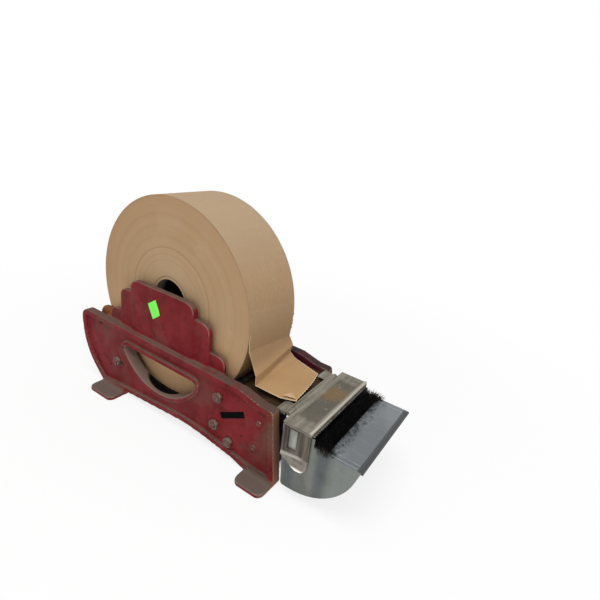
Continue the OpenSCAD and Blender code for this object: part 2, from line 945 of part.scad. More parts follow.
module brush_block() {
  color(wood)
    translate([-brush_x, -brush_front, brush_foot])
      cube([2 * brush_x, brush_y, brush_block_z]);
}

// A repeatable scatter between -1 and 1
function scatter(i, j) =
  let (v = sin(i * 127.1 + j * 311.7) * 437.58)
  2 * (v - floor(v)) - 1;

// Each bristle rises from the block and leans forward, the front rows most
function bristle_root(i, j) = [
  -brush_x + 1 + (2 * brush_x - 2) * (i + 0.5) / bristle_count,
  -brush_rear - 0.5 - (brush_y - 1) * (j + 0.5) / bristle_rows,
  brush_top + back_slice - 0.6
];
function bristle_tip(i, j) =
  let (
    root = bristle_root(i, j),
    front = (j + 0.5) / bristle_rows,
    spread = 1 + 0.035 * front,
    rise = bristle_len * (1 - 0.24 * front * front) - 1.5 + 0.8 * scatter(i + 3, j)
  )
  [
    root.x * spread + 0.35 * scatter(i, j),
    root.y - 0.6 - 2.2 * front * front + 0.2 * scatter(j, i),
    root.z + rise
  ];

module bristle(root, tip) {
  mid = root * 0.45 + [tip.x, root.y * 0.7 + tip.y * 0.3, tip.z] * 0.55;
  rings = [root, mid, tip];
  radii = [bristle_r, bristle_r, bristle_r * 0.55];
  polyhedron(
    points = [
      for (k = [0 : 2], a = [90, 210, 330])
        rings[k] + radii[k] * [cos(a), sin(a), 0]
    ],
    faces = concat(
      [[0, 1, 2], [8, 7, 6]],
      [for (k = [0, 3], s = [0 : 2])
        each [
          [k + s, k + 3 + s, k + (s + 1) % 3],
          [k + (s + 1) % 3, k + 3 + s, k + 3 + (s + 1) % 3]
        ]
      ]
    )
  );
}

module brush_bristles() {
  color(black) {
    translate([-brush_x, -brush_front, brush_top])
      cube([2 * brush_x, brush_y, back_slice]);
    for (i = [0 : bristle_count - 1], j = [0 : bristle_rows - 1])
      bristle(bristle_root(i, j), bristle_tip(i, j));
  }
}

left_frame();
right_frame();
deck_plate();
tape_side_guides();
feed_plate();
cross_plate();
frame_screws();
screw_nuts();
rod_nuts();
rear_shaft();
front_shaft();
guide_rod();
tie_rod_mid();
tie_rod_low();
rear_roller();
front_roller();
guide_sleeve();
guide_disc_left();
guide_disc_right();
tape_roll();
roll_core();
tape_end();
hinge_wire();
cover_plate();
cover_cheek_left();
cover_cheek_right();
tear_blade();
blade_studs();
water_tank();
apron_plate();
tank_tongues();
brush_rests();
brush_block();
brush_bristles();
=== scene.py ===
# %% [markdown]
# # A counter dispenser for gummed paper tape
# Two red cast frames carry a big roll of brown paper tape. Its end runs forward
# under a hinged metal cover, over a wet brush, and is torn off at the cover's
# edge. The solids come from the CAD model, and this lesson gives every one of
# them the surface that years on a shop counter leave. It starts by loading that
# model, because each new piece is placed by it.

import json
import math

import bpy
import numpy as np
from mathutils import Matrix, Vector


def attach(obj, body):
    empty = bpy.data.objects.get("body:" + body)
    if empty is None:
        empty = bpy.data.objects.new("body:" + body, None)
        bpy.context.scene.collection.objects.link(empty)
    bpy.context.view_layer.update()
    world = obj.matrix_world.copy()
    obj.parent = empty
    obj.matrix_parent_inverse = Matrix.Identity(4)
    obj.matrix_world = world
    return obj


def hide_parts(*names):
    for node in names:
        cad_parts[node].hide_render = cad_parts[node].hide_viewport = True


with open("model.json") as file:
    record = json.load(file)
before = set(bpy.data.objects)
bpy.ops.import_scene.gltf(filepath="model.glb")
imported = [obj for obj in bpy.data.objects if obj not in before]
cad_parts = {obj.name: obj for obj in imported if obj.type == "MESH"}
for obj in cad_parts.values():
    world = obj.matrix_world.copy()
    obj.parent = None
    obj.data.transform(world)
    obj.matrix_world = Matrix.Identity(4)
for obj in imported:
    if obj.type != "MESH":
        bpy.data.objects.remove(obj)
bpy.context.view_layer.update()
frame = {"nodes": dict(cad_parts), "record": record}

# %% [markdown]
# ## The camera
# The photograph was taken from the front left, a little above the roll. A camera
# can be aimed with a constraint, but here its place and its three directions were
# worked out from the picture, so they are written straight into its matrix. A
# wide lens close by gives the strong perspective.

# %% Camera from its place, heading, tilt and roll
def camera_at(place, azimuth, elevation, roll, lens):
    """Adds the camera. Azimuth 0 looks along +Y, and roll turns it about its view."""
    a, e, r = (math.radians(angle) for angle in (azimuth, elevation, roll))
    back = Vector((math.sin(a) * math.cos(e), -math.cos(a) * math.cos(e), math.sin(e)))
    right = (-back).cross(Vector((0, 0, 1))).normalized()
    up = right.cross(-back)
    right, up = (math.cos(r) * right + math.sin(r) * up,
                 -math.sin(r) * right + math.cos(r) * up)
    bpy.ops.object.camera_add(location=place)
    camera = bpy.context.object
    rows = [[right[i], up[i], back[i], place[i]] for i in range(3)]
    camera.matrix_world = Matrix(rows + [[0, 0, 0, 1]])
    camera.data.sensor_width = 36
    camera.data.lens = lens
    camera.data.clip_start = 0.01
    bpy.context.scene.camera = camera
    return camera


camera = camera_at((-0.33297, -0.27519, 0.32966), -59.62, 21.85, 7.71, 25.71)
print("lens", camera.data.lens, "mm")

# %% [markdown]
# ## Shader maths in Python
# A material is a tree of small nodes. Written node by node it is hard to read, so
# a Wire wraps one output socket and gives it Python's operators: mask * 0.5 adds
# a Math node by itself. A Tree adds any other node by its name, and a Finish is
# the Tree of one material.

# %% Wire: a socket with operators
class Wire:
    """A number, colour or vector on its way through a tree of nodes."""

    def __init__(self, tree, socket):
        self.tree = tree
        self.socket = socket

    def maths(self, operation, *values):
        """Adds a Math node that works on these values."""
        inputs = dict(enumerate(values))
        return self.tree.add("Math", {"operation": operation}, inputs)

    def __add__(self, other):
        return self.maths("ADD", self, other)

    def __sub__(self, other):
        return self.maths("SUBTRACT", self, other)

    def __rsub__(self, other):
        return self.maths("SUBTRACT", other, self)

    def __mul__(self, other):
        return self.maths("MULTIPLY", self, other)

    __radd__ = __add__
    __rmul__ = __mul__

    def size(self):
        """The value without its sign."""
        return self.maths("ABSOLUTE", self)

    def most(self, other):
        """The larger of two values."""
        return self.maths("MAXIMUM", self, other)

    def between(self, low, high):
        """0 below low, 1 above high, and a smooth ramp from one to the other."""
        settings = {"interpolation_type": "SMOOTHSTEP"}
        inputs = {"Value": self, "From Min": low, "From Max": high}
        return self.tree.add("MapRange", settings, inputs)


print("operators ready")

# %% Tree: adds nodes by name, and Finish: the tree of one material
class Tree:
    """The nodes of a material or a world."""

    def __init__(self, owner):
        owner.use_nodes = True
        self.nodes = owner.node_tree.nodes
        self.links = owner.node_tree.links

    def add(self, kind, settings=None, inputs=None, output=0):
        """Adds a node: its settings first, then its sockets by name or number."""
        node = self.nodes.new("ShaderNode" + kind)
        for name, value in (settings or {}).items():
            setattr(node, name, value)
        for name, value in (inputs or {}).items():
            self.plug(value, node.inputs[name])
        return Wire(self, node.outputs[output])

    def plug(self, value, socket):
        """Links a Wire to a socket, or sets a plain value there."""
        if isinstance(value, Wire):
            self.links.new(value.socket, socket)
        else:
            socket.default_value = value


class Finish(Tree):
    """One material, with the patterns that its finish is made of."""

    def __init__(self, name):
        self.material = bpy.data.materials.new(name)
        super().__init__(self.material)
        self.shader = self.nodes["Principled BSDF"]
        self.place = self.add("TexCoord", output="Object")

    def noise(self, scale, detail=4.0, rough=0.55, stretch=(1, 1, 1), shift=(0, 0, 0)):
        """Cloudy noise, scale spots to the metre, drawn out along an axis by stretch."""
        inputs = {"Vector": self.place, "Location": shift, "Scale": stretch}
        moved = self.add("Mapping", {}, inputs)
        inputs = {"Vector": moved, "Scale": scale, "Detail": detail, "Roughness": rough}
        return self.add("TexNoise", {}, inputs)

    def mix(self, share, first, second):
        """A colour between two others."""
        return self.add("Mix", {"data_type": "RGBA"}, {0: share, 6: first, 7: second}, 2)

    def facing(self, axis):
        """How far the surface faces along an axis, from -1 to 1."""
        normal = self.add("NewGeometry", output="Normal")
        return self.add("SeparateXYZ", {}, {0: normal}, axis)

    def along(self, axis):
        """The place along X, Y or Z in metres."""
        return self.add("SeparateXYZ", {}, {0: self.place}, axis)

    def edges(self, low, high):
        """1 on outward edges and 0 on flat places."""
        return self.add("NewGeometry", output="Pointiness").between(low, high)

    def hollows(self, low, high):
        """1 in inner corners and 0 on flat places."""
        return 1 - self.add("NewGeometry", output="Pointiness").between(low, high)

    def from_axis(self, y, z):
        """Distance from a line along X through (y, z)."""
        inputs = {0: self.place, 1: (0, 1, 1)}
        flat = self.add("VectorMath", {"operation": "MULTIPLY"}, inputs)
        return self.distance(flat, (0, y, z))

    def distance(self, first, second):
        """Distance between two places, in metres."""
        inputs = {0: first, 1: second}
        return self.add("VectorMath", {"operation": "DISTANCE"}, inputs, "Value")

    def patch(self, centre, reach):
        """1 near a place, fading to 0 at the reach, with a ragged rim."""
        ragged = self.noise(90, 4, 0.6) * (0.9 * reach)
        away = self.distance(self.place, centre)
        return 1 - (away + ragged).between(reach * 0.9, reach * 1.35)

    def set(self, color, rough, metal=0.0, bump=None, depth=0.0002, shine=0.25):
        """Feeds the shader. Bump is a height from 0 to 1, and depth its size in metres."""
        self.shader.inputs["Specular IOR Level"].default_value = shine
        self.plug(color, self.shader.inputs["Base Color"])
        self.plug(rough, self.shader.inputs["Roughness"])
        self.plug(metal, self.shader.inputs["Metallic"])
        if bump is not None:
            inputs = {"Height": bump, "Distance": depth, "Strength": 1.0}
            self.plug(self.add("Bump", {}, inputs), self.shader.inputs["Normal"])
        return self.material


def paint(red, green, blue):
    """A colour as a painter's tool shows it, 0 to 255, in Blender's linear form."""
    return tuple((c / 255) ** 2.2 for c in (red, green, blue)) + (1.0,)


def flat_finish(name, first, second, scale, rough, shine):
    """Two close colours in clouds, for parts that are small or stand in shade."""
    f = Finish(name)
    cloudy = f.noise(scale, 5, 0.6)
    color = f.mix(cloudy.between(0.36, 0.66), paint(*first), paint(*second))
    return f.set(color, rough + 0.15 * cloudy, 0.0, cloudy, 0.0001, shine=shine)


print("material tools ready")

# %% [markdown]
# ## The finishes
# Each finish starts from the colour that the real surface has, then gets what age
# added: dust where it lies flat, bare metal on edges, stains where glue or water
# ran. All patterns are in metres on the piece itself, so that they stay in place
# when the piece moves.
# Some finishes also get painted shade and painted light, named where they are.

# %% Red enamel on the castings
WINDOW_Y, WINDOW_Z, WINDOW_R = 0.057, 0.098, 0.0675
# Chipped spots: the y and z of each, and its reach
CHIPPED = (
    (0.145, 0.030, 0.0017), (0.1220, 0.0406, 0.0016), (0.1172, 0.0652, 0.0014),
    (0.1405, 0.0325, 0.0009), (0.1627, 0.0815, 0.0026), (-0.0802, 0.0252, 0.0012),
    (-0.0913, 0.0748, 0.0012), (-0.0647, 0.0357, 0.0012))


def red_enamel(name, dust_and_shade, deep_dust_and_shade, shade):
    """Old red paint: blotchy, with dust on top, worn to grey-brown along the edges."""
    f = Finish(name)
    cloudy = f.noise(26, 5)
    blotch = f.noise(75, 6, 0.6, shift=(0.3, 0.1, 0))
    fleck = f.noise(170, 5, 0.7, shift=(0.6, 0.2, 0.4))
    grain = f.noise(420, 3)
    out = f.along(0).size()
    red = f.mix(cloudy.between(0.36, 0.66), paint(102, 28, 33), paint(116, 38, 41))
    red = f.mix(blotch.between(0.50, 0.68) * 0.6, red, paint(76, 26, 26))
    stain = f.noise(17, 5, 0.62, shift=(0.8, 0.3, 0.5)).between(0.50, 0.66)
    red = f.mix(stain * 0.6, red, paint(100, 62, 56))
    glow = f.noise(36, 4, 0.6, shift=(0.15, 0.9, 0.4)).between(0.54, 0.70)
    red = f.mix(glow * 0.4, red, paint(134, 46, 54))
    # Painted shade: the side towards the roll is painted dark purple
    inner = 1 - f.facing(0).between(-0.6, 0.3)
    red = f.mix(inner * shade, red, paint(64, 28, 42))
    red = f.mix(fleck.between(0.62, 0.7) * 0.25, red, paint(122, 70, 66))
    # Inner corners are darker: painted shade, with grime
    red = f.mix(f.hollows(0.43, 0.475) * 0.5, red, paint(50, 30, 28))
    # The front end is worn brown, and painted lighter as painted light, since it stands in
    # shade
    front = (1 - f.along(1).between(-0.099, -0.086)) * f.along(2).between(0.020, 0.052)
    red = f.mix(front * blotch.between(0.30, 0.52) * 0.75, red, paint(94, 72, 58))
    end = 1 - f.facing(1).between(-0.75, -0.45)
    end = end * (1 - f.along(1).between(-0.098, -0.090))
    red = f.mix(end * 0.85, red, paint(122, 90, 72))
    up = f.facing(2).between(0.3, 0.8)
    dust = up * (0.6 + 0.6 * f.noise(60, 5).between(0.3, 0.62))
    tone = f.mix(1 - f.along(1).between(-0.075, 0.02), dust_and_shade, deep_dust_and_shade)
    red = f.mix(dust.between(0.1, 1.0) * 0.86, red, tone)
    # The round wall of the window is grey with dust and painted lighter as painted light, and
    # its lower inner part is painted black as painted shadow
    wall = f.from_axis(WINDOW_Y, WINDOW_Z).between(WINDOW_R + 0.0007, WINDOW_R + 0.0025)
    wall = (1 - wall) * (1 - f.along(2).between(0.0688, 0.0700))
    wall = wall * (1 - out.between(0.0565, 0.0572))
    red = f.mix(wall * (0.6 + 0.4 * blotch), red, paint(122, 104, 95))
    away = f.add("CombineXYZ", {}, {0: 108 * out, 1: 37 * f.along(1)})
    away = f.distance(away, (108 * 0.0435, 37 * 0.060, 0))
    red = f.mix(wall * (1 - away.between(0.88, 1.1)), red, paint(9, 6, 6))
    pad = out.between(0.0580, 0.0625) * up
    red = f.mix(pad * (0.6 + 0.4 * cloudy), red, paint(104, 93, 86))
    worn = f.edges(0.522, 0.56) * f.noise(120, 5, 0.65).between(0.26, 0.52)
    red = f.mix(worn * 0.8, red, paint(138, 116, 106))
    chips = f.noise(150, 4, 0.7, shift=(0.1, 0.7, 0.2)).between(0.68, 0.72)
    for y, z, reach in CHIPPED:
        chips = chips.most(1 - f.from_axis(y, z).between(reach * 0.6, reach * 1.5))
    red = f.mix(chips * 0.85, red, paint(36, 20, 20))
    rough = 0.42 + 0.34 * dust + 0.16 * grain
    height = 0.5 * grain + 0.7 * blotch - 0.6 * chips
    return f.set(red, rough, 0.0, height, 0.0003, shine=0.08)


finishes = {
    "red": red_enamel("red_enamel", paint(98, 80, 72), paint(82, 72, 64), 0),
    # The right frame: its dust is darker as painted shade, and its inner side gets painted
    # shade
    "shaded red": red_enamel("shaded_red", paint(60, 58, 58), paint(52, 51, 52), 0.85),
}
print(*finishes, sep=", ")

# %% Kraft paper: the roll's ends, its outside, and the loose end
ROLL_Y, ROLL_Z, ROLL_R, CORE_R = 0.0600722, 0.138831, 0.112, 0.026
# Windings that stand out: the radius of each, and how dark it is
RINGS = ((0.0445, 0.2), (0.0510, 0.25), (0.0580, 0.45), (0.0700, 0.15), (0.0930, 0.15))


def paper_skin(f):
    """The face of the tape, darker and warmer towards the deck as painted shade, with long
    fibres.
    """
    cloudy = f.noise(22, 4)
    fibre = f.noise(700, 3, 0.6, stretch=(1, 0.35, 0.35))
    skin = f.mix(fibre.between(0.3, 0.7), paint(160, 131, 100), paint(170, 141, 109))
    skin = f.mix(cloudy.between(0.4, 0.7) * 0.5, skin, paint(158, 128, 95))
    # Painted shade: darker and warmer low down
    low = 1 - f.along(2).between(0.095, 0.175)
    return f.mix(low * 0.6, skin, paint(142, 108, 74)), fibre, cloudy


def kraft_roll():
    """Brown paper, wound: fine rings on the flat ends, fibres on the outside."""
    f = Finish("kraft_roll")
    radius = f.from_axis(ROLL_Y, ROLL_Z)
    spot = f.add("CombineXYZ", {}, {0: radius, 1: f.along(0) * 0.02})
    fine = f.add("TexNoise", {}, {"Vector": spot, "Scale": 1500.0, "Detail": 3.0})
    broad = f.add("TexNoise", {}, {"Vector": spot, "Scale": 120.0, "Detail": 3.0})
    end = f.facing(0).size().between(0.6, 0.95)
    skin, fibre, cloudy = paper_skin(f)
    # Painted light: the top of the roll is lighter
    skin = f.mix(f.facing(2).between(0.3, 0.9) * 0.55, skin, paint(166, 147, 124))
    rubbed = f.noise(48, 6, 0.65, shift=(0.2, 0.6, 0.1))
    side = f.mix(fine.between(0.32, 0.68), paint(158, 129, 96), paint(168, 140, 107))
    side = f.mix(broad.between(0.35, 0.7) * 0.4, side, paint(156, 127, 95))
    side = f.mix(cloudy.between(0.4, 0.7) * 0.5, side, paint(167, 141, 111))
    side = f.mix(rubbed.between(0.6, 0.75) * 0.35, side, paint(180, 155, 126))
    # Painted light: the ends are lighter low down, where the lamps reach them less
    low = 1 - f.along(2).between(0.085, 0.150)
    side = f.mix(low * 0.6, side, paint(188, 152, 112))
    inner = 1 - radius.between(0.030, 0.075)
    side = f.mix(inner * 0.3, side, paint(176, 152, 124))
    wander = radius + 0.0012 * f.noise(11, 2)
    for ring, share in RINGS:
        band = wander.between(ring, ring + 0.0006)
        band = band * (1 - wander.between(ring + 0.0010, ring + 0.0018))
        side = f.mix(band * share, side, paint(124, 96, 68))
    warm = (radius - 0.11).size() + 0.03 * f.noise(26, 4, 0.6, shift=(0.4, 0.4, 0))
    side = f.mix((1 - warm.between(0.016, 0.040)) * 0.3, side, paint(160, 124, 94))
    dark = 1 - radius.between(CORE_R, CORE_R + 0.0022)
    side = f.mix(dark * 0.6, side, paint(96, 76, 56))
    color = f.mix(end, skin, side)
    height = end * (0.5 * fine + 0.35 * broad) + (1 - end) * 0.35 * fibre
    return f.set(color, 0.85, 0.0, height, 0.0002, shine=0.15)


def kraft_sheet():
    """The same paper as a loose sheet. Its free part is warmer, and its rim is torn."""
    f = Finish("kraft_sheet")
    skin, fibre, cloudy = paper_skin(f)
    free = 1 - f.along(1).between(-0.0640, -0.0575)
    color = f.mix(free * 0.85, skin, paint(172, 138, 98))
    color = f.mix(free * cloudy.between(0.42, 0.7) * 0.4, color, paint(160, 122, 82))
    # Painted light: a lighter strip in the fold
    rise = f.along(1).between(-0.066, -0.062) * (1 - f.along(2).between(0.100, 0.112))
    color = f.mix(rise * 0.6, color, paint(178, 144, 106))
    rim = f.add("Attribute", {"attribute_name": "rim"}, output="Fac")
    color = f.mix(rim * 0.85, color, paint(222, 200, 170))
    return f.set(color, 0.78 - 0.2 * cloudy, 0.0, fibre, 0.00008, shine=0.2)


def grey_card():
    """The core: grey board, pale near its ends, and painted dark further inside as painted
    shade.
    """
    f = Finish("grey_card")
    cloudy = f.noise(160, 5, 0.6)
    # Painted shade: dark deep inside the core
    reach = f.along(0).size() + 0.003 * cloudy
    color = f.mix(reach.between(0.024, 0.034), paint(20, 18, 17), paint(120, 113, 103))
    end = f.facing(0).size().between(0.6, 0.95)
    color = f.mix(end, color, paint(158, 132, 102))
    return f.set(color, 0.85, 0.0, cloudy, 0.0001, shine=0.1)


finishes["roll"] = kraft_roll()
finishes["sheet"] = kraft_sheet()
finishes["card"] = grey_card()
print(*finishes, sep=", ")

# %% Nickel plate: the cover and its cheeks
def stained_nickel():
    """Dull nickel plate: brushed along X, brown with glue in the cover's sunk middle."""
    f = Finish("stained_nickel")
    brushed = f.noise(300, 3, stretch=(0.1, 1, 1))
    wide = f.noise(90, 4, stretch=(0.12, 1, 1), shift=(0.3, 0, 0))
    cloudy = f.noise(34, 5, 0.6)
    metal = f.mix(brushed.between(0.3, 0.7), paint(118, 114, 103), paint(143, 138, 126))
    metal = f.mix(wide.between(0.42, 0.62) * 0.6, metal, paint(108, 102, 90))
    up = f.facing(2).between(0.5, 0.9)
    inside = f.along(1).between(-0.1395, -0.1380)
    inside = inside * (1 - f.along(1).between(-0.1195, -0.1180))
    across = f.along(0).size() + 0.014 * f.noise(110, 4, 0.6)
    sunk = up * inside * (1 - across.between(0.044, 0.052))
    tone = f.mix(cloudy.between(0.42, 0.62), paint(86, 82, 74), paint(102, 95, 81))
    metal = f.mix(sunk * 0.9, metal, tone)
    brown = sunk * f.patch((0.012, -0.1265, 0.0823), 0.021)
    metal = f.mix(brown * 0.7, metal, paint(122, 98, 64))
    glue = up * f.noise(70, 5, 0.62, shift=(0.2, 0.4, 0)).between(0.58, 0.66)
    metal = f.mix(glue * 0.5, metal, paint(146, 140, 124))
    grime = f.noise(140, 5, 0.7, shift=(0.7, 0.1, 0)).between(0.62, 0.72)
    metal = f.mix(grime * 0.5, metal, paint(62, 57, 50))
    front = 1 - f.along(1).between(-0.1425, -0.1395)
    metal = f.mix(front * 0.8, metal, paint(186, 180, 166))
    rough = 0.42 + 0.22 * cloudy + 0.2 * glue
    return f.set(metal, rough, 0.55, brushed + 0.6 * cloudy, 0.00012)


def cheek_nickel():
    """The cover's upright sides: dark streaks as painted reflection and shade, with painted
    highlights on the bends and the lip.
    """
    f = Finish("cheek_nickel")
    streak = f.noise(190, 4, 0.6, stretch=(1, 1, 0.07))
    cloudy = f.noise(60, 4, 0.6)
    # Painted reflection and shade: dark upright streaks
    metal = f.mix(streak.between(0.38, 0.62), paint(60, 54, 50), paint(96, 89, 82))
    # Painted highlight along the top fold
    fold = f.along(2).between(0.0800, 0.0808)
    metal = f.mix(fold * 0.7, metal, paint(150, 146, 136))
    # The bend above the lip climbs towards the front
    bend = f.along(2) + 0.13 * (f.along(1) + 0.117) + 0.001 * cloudy
    # Painted light: lighter below the bend
    light = f.mix(cloudy.between(0.4, 0.65), paint(96, 92, 86), paint(124, 120, 112))
    metal = f.mix((1 - bend.between(0.0485, 0.0500)) * 0.9, metal, light)
    # Painted highlight on the bend
    band = bend.between(0.0470, 0.0488) * (1 - bend.between(0.0500, 0.0525))
    band = band * f.along(1).between(-0.1420, -0.1330)
    metal = f.mix(band * 0.75, metal, paint(166, 161, 153))
    # Painted highlight on the rounded lip
    rounded = 1 - f.along(2).between(0.0416, 0.0430)
    metal = f.mix(rounded * 0.9, metal, paint(214, 211, 205))
    return f.set(metal, 0.42 + 0.2 * cloudy, 0.5, streak, 0.00008)


finishes["nickel"] = stained_nickel()
finishes["cheek"] = cheek_nickel()
print(*finishes, sep=", ")

# %% Zinc: the tank and its apron
def water_zinc():
    """Zinc sheet that water has run down for years: broad, soft, upright bands."""
    f = Finish("water_zinc")
    band = f.noise(34, 2, 0.5, stretch=(1, 1, 0.1), shift=(0, 0.02, 0))
    streak = f.noise(130, 5, 0.6, stretch=(1, 1, 0.13))
    spangle = f.add("TexVoronoi", {}, {"Vector": f.place, "Scale": 190.0}, "Color")
    spangle = f.add("SeparateXYZ", {}, {0: spangle}, 0)
    cloudy = f.noise(40, 5, 0.6)
    metal = f.mix(band.between(0.4, 0.6), paint(92, 97, 99), paint(122, 125, 118))
    metal = f.mix(streak.between(0.4, 0.66) * 0.4, metal, paint(120, 123, 116))
    metal = f.mix(spangle * 0.12, metal, paint(146, 150, 147))
    metal = f.mix(cloudy.between(0.52, 0.72) * 0.5, metal, paint(92, 92, 84))
    low = 1 - f.along(2).between(0.012, 0.030)
    metal = f.mix(low * 0.4, metal, paint(84, 86, 80))
    spots = f.noise(230, 3, 0.6, shift=(0.5, 0, 0)).between(0.68, 0.74)
    metal = f.mix(spots * 0.5, metal, paint(60, 62, 60))
    run = (f.along(1) + 0.1545 + 0.006 * streak).size()
    metal = f.mix((1 - run.between(0.002, 0.0095)) * 0.4, metal, paint(74, 80, 88))
    round_front = 1 - f.along(1).between(-0.172, -0.158)
    metal = f.mix(round_front * 0.5, metal, paint(144, 149, 144))
    # Behind the slot in the cheek the sheet is painted light, with streaks of painted
    # highlight
    slot = f.along(2).between(0.054, 0.057) * f.along(1).between(-0.1345, -0.1320)
    metal = f.mix(slot * 0.9, metal, paint(148, 149, 142))
    metal = f.mix(slot * streak.between(0.5, 0.6) * 0.5, metal, paint(184, 184, 176))
    rough = 0.36 + 0.25 * cloudy + 0.12 * streak
    return f.set(metal, rough, 0.6, cloudy + 0.3 * streak, 0.0005)


def apron_zinc():
    """The apron: smooth cool zinc, dark with ink and glue where the brush drips."""
    f = Finish("apron_zinc")
    cloudy = f.noise(30, 4, 0.5)
    scratch = f.noise(240, 4, 0.6, stretch=(1, 0.12, 1))
    forward = f.along(1) * -1
    near = 1 - (forward + 0.010 * cloudy).between(0.1660, 0.1765)
    metal = f.mix(cloudy.between(0.36, 0.64), paint(110, 114, 117), paint(126, 130, 132))
    metal = f.mix(scratch.between(0.5, 0.7) * 0.3, metal, paint(138, 142, 143))
    metal = f.mix(near * 0.6, metal, paint(58, 62, 68))
    grime = f.noise(260, 6, 0.7).between(0.46, 0.58) * (1 - forward.between(0.164, 0.176))
    metal = f.mix(grime * 0.9, metal, paint(28, 29, 30))
    # Painted shade: the rolled front edge is darker
    fold = forward.between(0.1897, 0.1909)
    metal = f.mix(fold * 0.85, metal, paint(70, 71, 71))
    bead = f.along(2).between(0.0722, 0.0726) * (1 - fold)
    metal = f.mix(bead * 0.5, metal, paint(170, 174, 173))
    return f.set(metal, 0.38 + 0.2 * cloudy, 0.55, cloudy + 0.2 * scratch, 0.0004)


finishes["zinc"] = water_zinc()
finishes["apron"] = apron_zinc()
print(*finishes, sep=", ")

# %% Black sheet, plain steel and painted nuts
def black_sheet():
    """Black painted sheet, dull, with a haze of paper dust on its flat places."""
    f = Finish("black_sheet")
    cloudy = f.noise(70, 5, 0.6)
    dust = f.facing(2).between(0.6, 0.95) * (0.6 + cloudy.between(0.52, 0.75) * 0.4)
    color = f.mix(dust, paint(12, 11, 10), paint(78, 58, 42))
    return f.set(color, 0.5 + 0.25 * cloudy, 0.0, cloudy, 0.0001, shine=0.08)


def plain_steel():
    """Turned steel with brown tarnish."""
    f = Finish("plain_steel")
    cloudy = f.noise(120, 5, 0.6)
    turned = f.noise(900, 2, stretch=(1, 0.1, 0.1))
    metal = f.mix(cloudy.between(0.4, 0.65), paint(120, 116, 108), paint(88, 76, 66))
    return f.set(metal, 0.35 + 0.3 * cloudy, 0.65, turned + cloudy, 0.00008)


def painted_nut(name, bare):
    """Steel nuts and rod ends that still hold some of the red paint, under grey dust."""
    f = Finish(name)
    cloudy = f.noise(240, 5, 0.6)
    metal = f.mix(cloudy.between(0.40, 0.58), paint(98, 44, 42), bare)
    metal = f.mix(f.facing(2).between(0.2, 0.9) * 0.6, metal, paint(124, 118, 106))
    speck = f.noise(420, 3, 0.6, shift=(0.2, 0, 0.3)).between(0.64, 0.7)
    metal = f.mix(speck * 0.7, metal, paint(176, 170, 160))
    return f.set(metal, 0.42 + 0.25 * cloudy, 0.2, cloudy, 0.00012)


finishes["black"] = black_sheet()
finishes["steel"] = plain_steel()
finishes["nut"] = painted_nut("painted_nut", paint(98, 88, 78))
finishes["red nut"] = painted_nut("red_nut", paint(112, 52, 50))
print(*finishes, sep=", ")

# %% Bristle, and the plain finishes of discs, wood, torn paper and labels
def wet_bristle():
    """Black hair matted with glue: grey flecks all over, paler where it splays out."""
    f = Finish("black_bristle")
    cloudy = f.noise(210, 5, 0.6)
    fleck = f.noise(900, 4, 0.7, stretch=(1, 1, 0.45))
    color = f.mix(cloudy.between(0.36, 0.66), paint(15, 15, 16), paint(32, 31, 31))
    out = f.along(0).size()
    share = 0.15 + 0.45 * out.between(0.036, 0.050)
    color = f.mix(fleck.between(0.54, 0.64) * share, color, paint(92, 82, 84))
    splay = out.between(0.0545, 0.0600) * fleck.between(0.44, 0.56)
    color = f.mix(splay * 0.8, color, paint(168, 160, 142))
    return f.set(color, 0.5 + 0.15 * cloudy, 0.0, cloudy, 0.0001, shine=0.15)


finishes["bristle"] = wet_bristle()
for name, label, first, second, scale, rough, shine in (
    ("disc", "orange_disc", (136, 80, 44), (100, 58, 36), 90, 0.5, 0.25),
    ("pale paper", "pale_paper", (196, 166, 132), (178, 144, 106), 300, 0.8, 0.25),
    ("wood", "wet_wood", (52, 37, 26), (36, 26, 19), 130, 0.5, 0.25),
    ("green", "green_label", (112, 236, 84), (124, 242, 96), 60, 0.5, 0.25),
    ("black label", "black_label", (5, 5, 6), (10, 9, 10), 80, 0.45, 0.03),
):
    finishes[name] = flat_finish(label, first, second, scale, rough, shine)
print(len(finishes), "finishes")

# %% [markdown]
# ## Softening the CAD solids
# CAD edges are perfectly sharp, and no real edge is. Where a solid's shape is
# right, its mesh is copied, its loose triangles are merged, and a narrow bevel
# goes along its edges, so that they catch the light.

# %% Copy a CAD node, and apply a modifier by name
def body_of_node(node):
    """The body that the record puts a node on."""
    bodies = frame["record"]["behaviour"]["bodies"]
    return next(body for body, nodes in bodies.items() if node in nodes)


def choose(*objects):
    """Selects these objects and nothing else, and makes the first one active."""
    bpy.ops.object.select_all(action="DESELECT")
    for o in objects:
        o.select_set(True)
    bpy.context.view_layer.objects.active = objects[0]


def apply(piece, kind, **settings):
    """Adds a modifier, sets it and applies it."""
    choose(piece)
    modifier = piece.modifiers.new(kind.title(), kind)
    for name, value in settings.items():
        setattr(modifier, name, value)
    bpy.ops.object.modifier_apply(modifier=modifier.name)


def coat(piece, finish):
    """Makes a finish the only material of a piece."""
    piece.data.materials.clear()
    piece.data.materials.append(finishes[finish])


def dress(piece, body, finish, smooth=30):
    """Gives a finished piece its material, its smooth shading and its body."""
    coat(piece, finish)
    choose(piece)
    bpy.ops.object.shade_smooth_by_angle(angle=math.radians(smooth))
    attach(piece, body)


def face_outwards(piece, merge=0.0):
    """Merges points that are closer than this, and turns all faces outwards."""
    choose(piece)
    bpy.ops.object.mode_set(mode="EDIT")
    bpy.ops.mesh.select_all(action="SELECT")
    if merge:
        bpy.ops.mesh.remove_doubles(threshold=merge)
    bpy.ops.mesh.normals_make_consistent(inside=False)
    bpy.ops.object.mode_set(mode="OBJECT")


